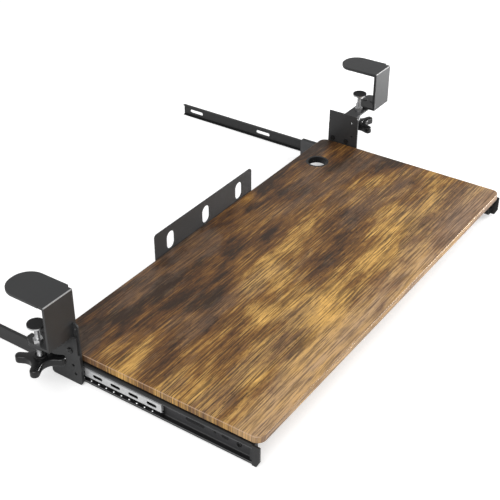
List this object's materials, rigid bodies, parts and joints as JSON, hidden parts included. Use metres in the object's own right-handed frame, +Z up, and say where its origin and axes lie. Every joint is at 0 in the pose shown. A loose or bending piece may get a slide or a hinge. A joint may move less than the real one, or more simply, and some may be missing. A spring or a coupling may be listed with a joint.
{
  "type": "clamp-on keyboard tray",
  "caption": "Wooden keyboard tray that slides out from under a desk on ball-bearing slides, hung from screw clamps on the desk edge, with a slotted rear stop plate and a cable hole",
  "frame": {"origin": "above the middle of the board: the point of the desk top's front edge midway between the slides, on the plane of the clamp linings that rest on the desk top and of the ones that meet its front edge", "axes": "+X along the desk edge to the user's right, +Y in under the desk, away from the user, +Z up"},
  "size_m": [1.001, 0.709, 0.161],
  "materials": {
    "board_wood": "wood-grain laminate, satin",
    "frame_paint": "black satin powder coat",
    "rail_paint": "black electro-coated steel, satin",
    "cage_zinc": "bright zinc-plated steel",
    "ball_steel": "polished bearing steel",
    "fastener_black": "blackened steel",
    "fastener_zinc": "zinc-plated steel",
    "knob_plastic": "moulded nylon, fine texture",
    "trim_plastic": "moulded plastic",
    "pad_rubber": "matt black rubber"
  },
  "bodies": {
    "desk_frame": {"left_clamp_body": "frame_paint", "left_clamp_pad": "pad_rubber", "left_clamp_nut": "fastener_zinc", "left_hanger": "frame_paint", "left_hanger_rivets": "fastener_black", "left_slide_bracket": "frame_paint", "left_bracket_bolts": "fastener_black", "left_fixed_rail": "rail_paint", "left_fixed_rail_screws": "fastener_zinc", "right_clamp_body": "frame_paint", "right_clamp_pad": "pad_rubber", "right_clamp_nut": "fastener_zinc", "right_hanger": "frame_paint", "right_hanger_rivets": "fastener_black", "right_slide_bracket": "frame_paint", "right_bracket_bolts": "fastener_black", "right_fixed_rail": "rail_paint", "right_fixed_rail_screws": "fastener_zinc"},
    "tray": {"tray_board": "board_wood", "cable_ring": "trim_plastic", "rear_stop_plate": "frame_paint", "rear_stop_screws": "fastener_black", "left_moving_rail": "rail_paint", "left_moving_rail_bolts": "fastener_black", "left_end_cap": "trim_plastic", "left_tray_angle": "frame_paint", "left_angle_screws": "fastener_black", "right_moving_rail": "rail_paint", "right_moving_rail_bolts": "fastener_black", "right_end_cap": "trim_plastic", "right_tray_angle": "frame_paint", "right_angle_screws": "fastener_black"},
    "left_cage": {"left_ball_cage": "cage_zinc", "left_balls": "ball_steel"},
    "left_pad": {"left_pressure_pad": "fastener_zinc", "left_pad_rubber": "pad_rubber"},
    "left_screw": {"left_clamp_screw": "fastener_zinc", "left_star_knob": "knob_plastic"},
    "right_cage": {"right_ball_cage": "cage_zinc", "right_balls": "ball_steel"},
    "right_pad": {"right_pressure_pad": "fastener_zinc", "right_pad_rubber": "pad_rubber"},
    "right_screw": {"right_clamp_screw": "fastener_zinc", "right_star_knob": "knob_plastic"}
  },
  "joints": [
    {"name": "tray_slide", "type": "slide", "parent": "desk_frame", "child": "tray", "axis": [0, 1, 0], "range_m": [0, 0.29]},
    {"name": "left_cage_slide", "type": "slide", "parent": "desk_frame", "child": "left_cage", "axis": [0, 1, 0], "range_m": [0, 0.145]},
    {"name": "right_cage_slide", "type": "slide", "parent": "desk_frame", "child": "right_cage", "axis": [0, 1, 0], "range_m": [0, 0.145]},
    {"name": "left_pad_lift", "type": "slide", "parent": "desk_frame", "child": "left_pad", "axis": [0, 0, 1], "range_m": [-0.0195, 0.0145]},
    {"name": "left_screw_turn", "type": "hinge", "parent": "left_pad", "child": "left_screw", "pos_m": [-0.428, 0.0216, -0.09], "axis": [0, 0, 1], "range_deg": [-5618, 4178]},
    {"name": "right_pad_lift", "type": "slide", "parent": "desk_frame", "child": "right_pad", "axis": [0, 0, 1], "range_m": [-0.0195, 0.0145]},
    {"name": "right_screw_turn", "type": "hinge", "parent": "right_pad", "child": "right_screw", "pos_m": [0.468, 0.0216, -0.09], "axis": [0, 0, 1], "range_deg": [-5618, 4178]}
  ],
  "couplings": [
    {"joint": "left_cage_slide", "follows": "tray_slide", "ratio": 0.5},
    {"joint": "right_cage_slide", "follows": "tray_slide", "ratio": 0.5},
    {"joint": "left_screw_turn", "follows": "left_pad_lift", "rad_per_m": 5026.5},
    {"joint": "right_screw_turn", "follows": "right_pad_lift", "rad_per_m": 5026.5}
  ]
}
